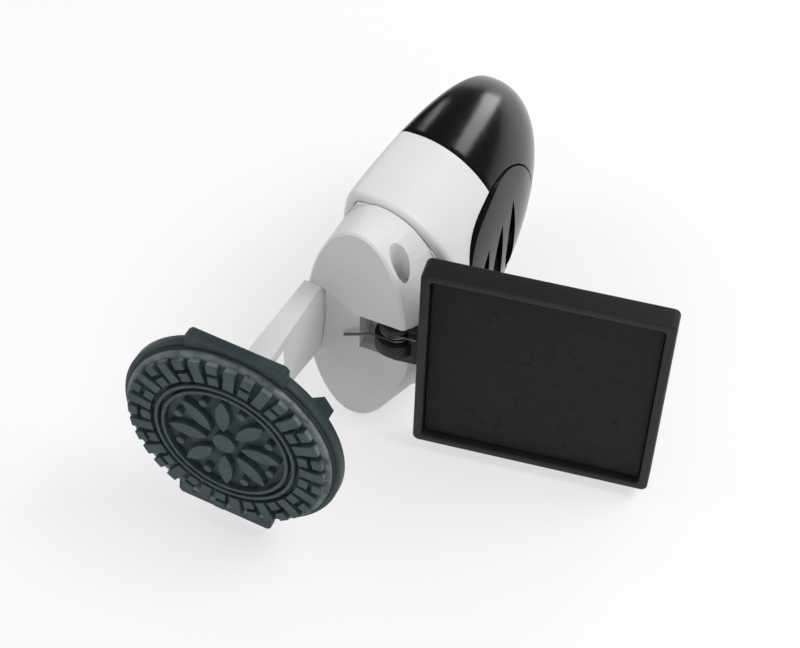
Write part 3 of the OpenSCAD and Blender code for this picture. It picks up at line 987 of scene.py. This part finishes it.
    def groove(self, index: int, side: Side) -> bpy.types.Object:
        """Crescent-shaped cutter of one finger groove.

        Args:
            index: Groove number from the mouth.
            side: The side that it is on.

        Returns:
            The solid.
        """
        points = []
        for sag, sense in zip(self.groove_sags, (1, -1)):
            radius = (self.groove_half**2 + sag**2) / (2 * sag)
            reach = math.asin(self.groove_half / radius)
            for i in range(self.groove_steps):
                a = sense * (-reach + 2 * reach * i / self.groove_steps)
                points.append((radius - sag - radius * math.cos(a), radius * math.sin(a)))
        y = self.button_y + self.groove_first + index * self.groove_pitch
        x = self.core_x + side.value * self.core_half
        outline = [spot(x, y + py, pz) for py, pz in points]
        return Bench.prism("groove_cutter", outline, Vector((side.value * self.through * MM, 0, 0)))

    def button(self, side: Side) -> Piece:
        """The thumb button of a side, with its grooves, its rim behind the shells and its stem."""
        name = side.name.lower()
        button = self.oval("thumb_button_" + name[0], 0.0, side)
        Bench.cut(button, self.skin(0.0), Cut.KEEP)
        floor = self.skin(-self.groove_depth)
        for index in range(self.groove_count):
            cutter = self.groove(index, side)
            Bench.cut(cutter, floor, Cut.AWAY, keep=True)
            Bench.cut(button, cutter, Cut.AWAY)
        bpy.data.objects.remove(floor)
        Bench.cut(button, self.hollow(self.button_back), Cut.AWAY)
        rim = self.oval("button_rim", self.flange, side)
        Bench.cut(rim, self.hollow(self.wall + self.button_gap), Cut.KEEP)
        Bench.cut(rim, self.hollow(self.button_back), Cut.AWAY)
        Bench.cut(button, rim, Cut.JOIN)
        for radius, start, end in (self.seat, self.stem):
            Bench.cut(button, self.rod(radius, start, end, side), Cut.JOIN)
        Bench.smooth(button, self.crease)
        return Piece(button, "button_" + name, "black_gloss", ("thumb_button_" + name,))


@dataclass(frozen=True)
class Trim:
    """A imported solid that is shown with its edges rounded.

    Lengths are in millimetres, and angles in degrees. An edge of 0 leaves the solid's own edges.
    """

    node: str
    name: str
    body: str
    slot: str
    edge: float = 0.0
    steps: int = 2
    sharp: float = 40.0
    crease: float = 30.0

    def piece(self) -> Piece:
        """Copy the solid, round its edges and shade it."""
        obj = Bench.twin(self.node, self.name)
        if self.edge:
            Bench.soften(obj, self.edge * MM, self.steps, self.sharp)
        Bench.smooth(obj, self.crease)
        return Piece(obj, self.body, self.slot, (self.node,))


NECK_AND_HEAD = (
    Trim("neck_frame", "neck_body", "grip", "white_shell", crease=24.0),
    Trim("stamp_arm", "forked_arm", "grip", "white_shell", 0.35, steps=3, sharp=30.0),
    Trim("plate_holder", "head_plate_holder", "stamp_head", "plate_plastic", 0.25),
    Trim("stamp_plate", "head_stamp_plate", "stamp_head", "plate_plastic", 0.30),
    Trim("die_cushion", "head_die_cushion", "stamp_head", "cushion_foam", 0.12),
    Trim("rubber_die", "head_rubber_die", "stamp_head", "die_rubber"),
)
HINGE_LEAF = Trim("tray_carrier", "tray_hinge_leaf", "tray", "charcoal_plastic", 0.22)


@dataclass
class InkTray:
    """The swing-out tray with its pad, modelled flat and turned to its place.

    Lengths are in millimetres, and angles in degrees.
    """

    near: float = 5.4
    wide: float = 46.3
    high: float = 45.5
    front: float = 6.3
    depth: float = 4.9
    wall: float = 1.8
    floor: float = 1.2
    sunk: float = 1.3
    corner: float = 1.3
    well_corner: float = 0.8
    edge: float = 0.6
    sharp: float = 40.0
    pad_gap: float = 0.12
    pad_edge: float = 0.45
    pad_cuts: int = 70
    pad_level: float = -0.10
    crown: float = 0.16
    ripple: float = 0.05
    dimple: float = 0.03
    face_depth: float = 0.30
    face_share: float = 0.985

    def to_place(self, obj: bpy.types.Object) -> None:
        """Turn a piece from the hinge's own axes into the row frame."""
        turned = Matrix.Translation(spot(*HINGE, 0)) @ Matrix.Rotation(math.radians(SWING), 4, "Z")
        obj.matrix_world = turned @ obj.matrix_world
        Bench.settle(obj)

    def block(self, name: str, inset: float, back: float, face: float) -> bpy.types.Object:
        """A block with the tray's outline.

        Args:
            name: The object's name.
            inset: How far it is smaller on each side.
            back: Its back, in front of the hinge axis.
            face: Its face, in front of the hinge axis.

        Returns:
            The block in the hinge's axes.
        """
        Bench.clear()
        bpy.ops.mesh.primitive_cube_add(
            size=1.0,
            location=Vector((self.near + self.wide / 2, -(back + face) / 2, 0)) * MM,
            scale=Vector((self.wide - 2 * inset, face - back, self.high - 2 * inset)) * MM,
        )
        obj = bpy.context.object
        obj.name = name
        Bench.settle(obj)
        return obj

    @staticmethod
    def round_corners(obj: bpy.types.Object, radius: float, steps: int) -> None:
        """Round the four edges of a block that run through its depth.

        Args:
            obj: The block, in the hinge's axes.
            radius: Radius of the corners.
            steps: Faces round a corner.
        """
        def runs_through(edge: bmesh.types.BMEdge) -> bool:
            """Whether an edge runs along the depth."""
            return abs((edge.verts[0].co - edge.verts[1].co).normalized().y) > MOSTLY

        Bench.edit(obj, "EDGE")
        Bench.pick(obj, "edges", runs_through)
        bpy.ops.mesh.bevel(offset=radius * MM, segments=steps, affect="EDGES")
        Bench.done()

    def shell(self) -> Piece:
        """Shallow frame with rounded corners and a rim."""
        obj = self.block("ink_tray_shell", 0, self.front - self.depth, self.front)
        self.round_corners(obj, self.corner, 7)
        well = self.block("tray_well", self.wall, self.front - self.depth + self.floor, self.front + 1)
        self.round_corners(well, self.well_corner, 5)
        Bench.cut(obj, well, Cut.AWAY)
        Bench.soften(obj, self.edge * MM, 4, self.sharp)
        self.to_place(obj)
        Bench.smooth(obj, 35)
        return Piece(obj, "tray", "charcoal_plastic", ("ink_tray",))

    def pad(self) -> Piece:
        """Felt pad with rounded shoulders and an uneven, slightly crowned face."""
        face = self.front - self.sunk
        obj = self.block("ink_pad_felt", self.wall + self.pad_gap, self.front - self.depth + self.floor, face)
        Bench.edit(obj, "EDGE")
        bpy.ops.mesh.select_all(action="SELECT")
        bpy.ops.mesh.bevel(offset=self.pad_edge * MM, segments=4, affect="EDGES")
        bpy.ops.mesh.select_mode(type="FACE")
        bpy.ops.mesh.select_all(action="DESELECT")
        Bench.pick(obj, "faces", lambda face: face.normal.y < -MOSTLY)
        bpy.ops.mesh.subdivide(number_cuts=self.pad_cuts)
        Bench.done()
        mid = self.near + self.wide / 2
        half = (self.wide / 2 - self.wall, self.high / 2 - self.wall)
        for vertex in obj.data.vertices:
            u, w = (vertex.co.x / MM - mid) / half[0], vertex.co.z / MM / half[1]
            if vertex.co.y / MM < -face + self.face_depth and max(abs(u), abs(w)) < self.face_share:
                crown = self.crown * (1 - u**4) * (1 - w**4)
                ripple = self.ripple * math.sin(7.1 * u + 2.3 * w) * math.sin(5.3 * w - 1.7 * u)
                dimple = self.dimple * math.sin(23 * u + 4) * math.sin(19 * w + 11 * u)
                vertex.co.y -= (crown + self.pad_level + ripple + dimple) * MM
        self.to_place(obj)
        Bench.smooth(obj, 40)
        return Piece(obj, "tray", "pad_felt", ("ink_pad",))


@dataclass
class HingeSpring:
    """The torsion spring on the tray's hinge, as one round wire. Lengths in millimetres."""

    wire: float = 0.6
    radius: float = 2.95
    low: float = 0.0
    high: float = 1.7
    turns: int = 2
    near_leg: float = 4.6
    run: float = 3.95
    tip: tuple[float, float, float] = (-2.5, 0.95, -3.8)

    def path(self) -> list[Vector]:
        """Points along the wire, from the tray's leg to the neck's leg."""
        swing = math.radians(SWING)
        along = Vector((math.cos(swing), math.sin(swing), 0))
        start = Vector((self.radius * math.sin(swing), -self.radius * math.cos(swing), self.high))
        points = [start + along * self.near_leg * (1 - i / 6) for i in range(6)]
        steps = 40 * self.turns
        for i in range(steps + 1):
            f = i / steps
            a = math.radians(270 + SWING - (360 * self.turns + SWING) * f)
            z = self.high + (self.low - self.high) * f
            points.append(Vector((self.radius * math.cos(a), self.radius * math.sin(a), z)))
        bend = Vector((-self.run, -self.radius, self.low))
        tip = Vector((self.tip[0] - HINGE[0], self.tip[1] - HINGE[1], self.tip[2]))
        points += [points[-1].lerp(bend, f) for f in (0.3, 0.6, 0.85)]
        points += [bend.lerp(tip, f) for f in (0.03, 0.1, 0.4, 0.7, 1.0)]
        return [spot(p.x + HINGE[0], p.y + HINGE[1], p.z) for p in points]

    def piece(self) -> Piece:
        """The wire as a closed tube."""
        Bench.clear()
        curve = bpy.data.curves.new("hinge_spring", "CURVE")
        curve.dimensions = "3D"
        spline = curve.splines.new("POLY")
        path = self.path()
        spline.points.add(len(path) - 1)
        for point, place in zip(spline.points, path):
            point.co = (*place, 1.0)
        curve.bevel_depth = self.wire / 2 * MM
        curve.bevel_resolution = 4
        curve.use_fill_caps = True
        obj = bpy.data.objects.new("hinge_spring", curve)
        bpy.context.scene.collection.objects.link(obj)
        Bench.take(obj)
        bpy.ops.object.convert(target="MESH")
        obj = bpy.context.object
        Bench.outward(obj)
        Bench.smooth(obj, 50)
        return Piece(obj, "grip", "steel", ("tray_hinge_spring",))


@dataclass
class Studio:
    """Camera, soft lights, pale floor and white surroundings.

    The camera's angles are in degrees and its place in millimetres from the neck's end, the rest in metres.
    """

    azimuth: float = 22.69
    elevation: float = 46.64
    roll: float = 2.38
    eye: tuple[float, float, float] = (103.12, -224.35, 262.99)
    lens: float = 85.86
    ambient: float = 0.42
    ceiling: float = 0.05
    horizon: tuple[float, float] = (-0.02, 0.06)
    floor_glow: float = 0.58
    floor_size: float = 6.0
    floor_drop: float = 0.0003
    floor_tone: Colour = (0.95, 0.95, 0.95)
    strip_lean: float = 38.0
    aim: tuple[float, float, float] = (0.0, 0.0, 0.03)

    def camera(self) -> None:
        """Put the camera where the photograph was taken from."""
        a, e, r = (math.radians(v) for v in (self.azimuth, self.elevation, self.roll))
        back = Vector((math.sin(a) * math.cos(e), -math.cos(a) * math.cos(e), math.sin(e)))
        right = Vector((math.cos(a), math.sin(a), 0))
        up = back.cross(right)
        across = right * math.cos(r) + up * math.sin(r)
        upward = up * math.cos(r) - right * math.sin(r)
        data = bpy.data.cameras.new("view")
        data.lens = self.lens
        data.sensor_fit = "HORIZONTAL"
        data.sensor_width = 36
        data.clip_start = 0.01
        camera = bpy.data.objects.new("view", data)
        facing = Matrix((across, upward, back)).transposed().to_4x4()
        camera.matrix_world = Matrix.Translation(spot(*self.eye)) @ facing
        bpy.context.scene.collection.objects.link(camera)
        bpy.context.scene.camera = camera

    def lamp(
        self, name: str, place: Sequence[float], size: tuple[float, float], watts: float, lean: float = 0.0
    ) -> None:
        """Add a soft box that points at the object.

        Args:
            name: Its name.
            place: Where it hangs, in metres.
            size: Its width and height.
            watts: Its power.
            lean: How far its long side leans over, in degrees.
        """
        data = bpy.data.lights.new(name, "AREA")
        data.shape = "RECTANGLE"
        data.size, data.size_y = size
        data.energy = watts
        lamp = bpy.data.objects.new(name, data)
        aim = (Vector(self.aim) - Vector(place)).to_track_quat("-Z", "Y").to_matrix().to_4x4()
        lamp.matrix_world = Matrix.Translation(place) @ aim @ Matrix.Rotation(math.radians(lean), 4, "Z")
        bpy.context.scene.collection.objects.link(lamp)

    def lights(self) -> None:
        """Hang the soft boxes round the object, and two strips behind it for the dome's streaks."""
        self.lamp("key_box", (0.34, 0.10, 0.55), (0.40, 0.30), 2.35)
        self.lamp("left_box", (-0.45, -0.10, 0.42), (0.40, 0.30), 0.65)
        self.lamp("front_box", (0.10, -0.62, 0.30), (0.5, 0.30), 0.62)
        self.lamp("back_strip", (0.10, 0.58, 0.19), (0.11, 0.36), 0.66, self.strip_lean)
        self.lamp("edge_strip", (-0.185, 0.57, 0.27), (0.022, 0.17), 0.06)

    @staticmethod
    def seen(sheet: Sheet) -> Wire:
        """Add the mask of rays that show the surroundings as such.

        Args:
            sheet: The node tree that it goes into.

        Returns:
            1 for camera, glossy and transmitted rays, 0 for the rest.
        """
        camera, glossy, passed = (
            sheet.node("ShaderNodeLightPath", {}, {}, ray)
            for ray in ("Is Camera Ray", "Is Glossy Ray", "Is Transmission Ray")
        )
        return camera.most(glossy).most(passed)

    def world(self) -> None:
        """White surroundings as seen, dark above the horizon as mirrored, and soft light for the rest."""
        world = bpy.data.worlds.new("surroundings")
        world.use_nodes = True
        background = world.node_tree.nodes["Background"]
        sheet = Sheet(world.node_tree, "Generated")
        shown = sheet.node("ShaderNodeMix", {}, {0: self.seen(sheet), 2: self.ambient, 3: 1.0})
        mirrored = 1 - sheet.axis("Z").step(*self.horizon) * (1 - self.ceiling)
        glossy = sheet.node("ShaderNodeLightPath", {}, {}, "Is Glossy Ray")
        sheet.plug(
            background.inputs["Strength"], sheet.node("ShaderNodeMix", {}, {0: glossy, 2: shown, 3: mirrored})
        )
        sheet.plug(background.inputs["Color"], WHITE)
        bpy.context.scene.world = world

    def floor(self) -> None:
        """Large pale floor that keeps a soft shadow."""
        Bench.clear()
        bpy.ops.mesh.primitive_plane_add(size=self.floor_size, location=(0, 0, -self.floor_drop))
        floor = bpy.context.object
        floor.name = "studio_floor"
        Bench.settle(floor)
        material = bpy.data.materials.new("studio_floor")
        material.use_nodes = True
        tree = material.node_tree
        tree.nodes.clear()
        sheet = Sheet(tree)
        plain = sheet.node("ShaderNodeBsdfDiffuse", {}, {"Color": self.floor_tone})
        white = sheet.node("ShaderNodeEmission", {}, {"Color": WHITE})
        share = self.seen(sheet) * self.floor_glow
        mixed = sheet.node("ShaderNodeMixShader", {}, {0: share, 1: plain, 2: white})
        sheet.plug(tree.nodes.new("ShaderNodeOutputMaterial").inputs["Surface"], mixed)
        floor.data.materials.append(material)

    def build(self) -> None:
        """Set up the whole studio."""
        self.camera()
        self.lights()
        self.world()
        self.floor()
        bpy.context.scene.view_settings.view_transform = "Standard"


def main() -> None:
    """Build and dress every piece, then light the scene."""
    logging.basicConfig(level=logging.INFO, format="%(name)s: %(message)s")
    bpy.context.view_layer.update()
    finishes = {
        "black_gloss": GlossBlack().paint(),
        "white_shell": SatinWhite().paint(),
        "charcoal_plastic": Charcoal().paint(),
        "pad_felt": InkFelt().paint(),
        "plate_plastic": PlatePlastic().paint(),
        "die_rubber": DieRubber().paint(),
        "cushion_foam": CushionFoam().paint(),
        "steel": DrawnSteel().paint(),
    }
    for entry in frame["record"]["subparts"]:
        node = frame["nodes"][entry["node"]]
        node.data.materials.clear()
        node.data.materials.append(finishes[entry["material_slot"]])
    grip, tray = Grip(), InkTray()
    pieces = [grip.dome(), grip.sleeve(), *(grip.button(side) for side in Side)]
    pieces += [trim.piece() for trim in NECK_AND_HEAD]
    pieces += [tray.shell(), HINGE_LEAF.piece(), HingeSpring().piece()]
    for piece in pieces:
        piece.hand_in(finishes[piece.slot])
    pad = tray.pad()
    pad.hand_in(finishes[pad.slot])
    Studio().build()


if __name__ == "__main__":
    main()
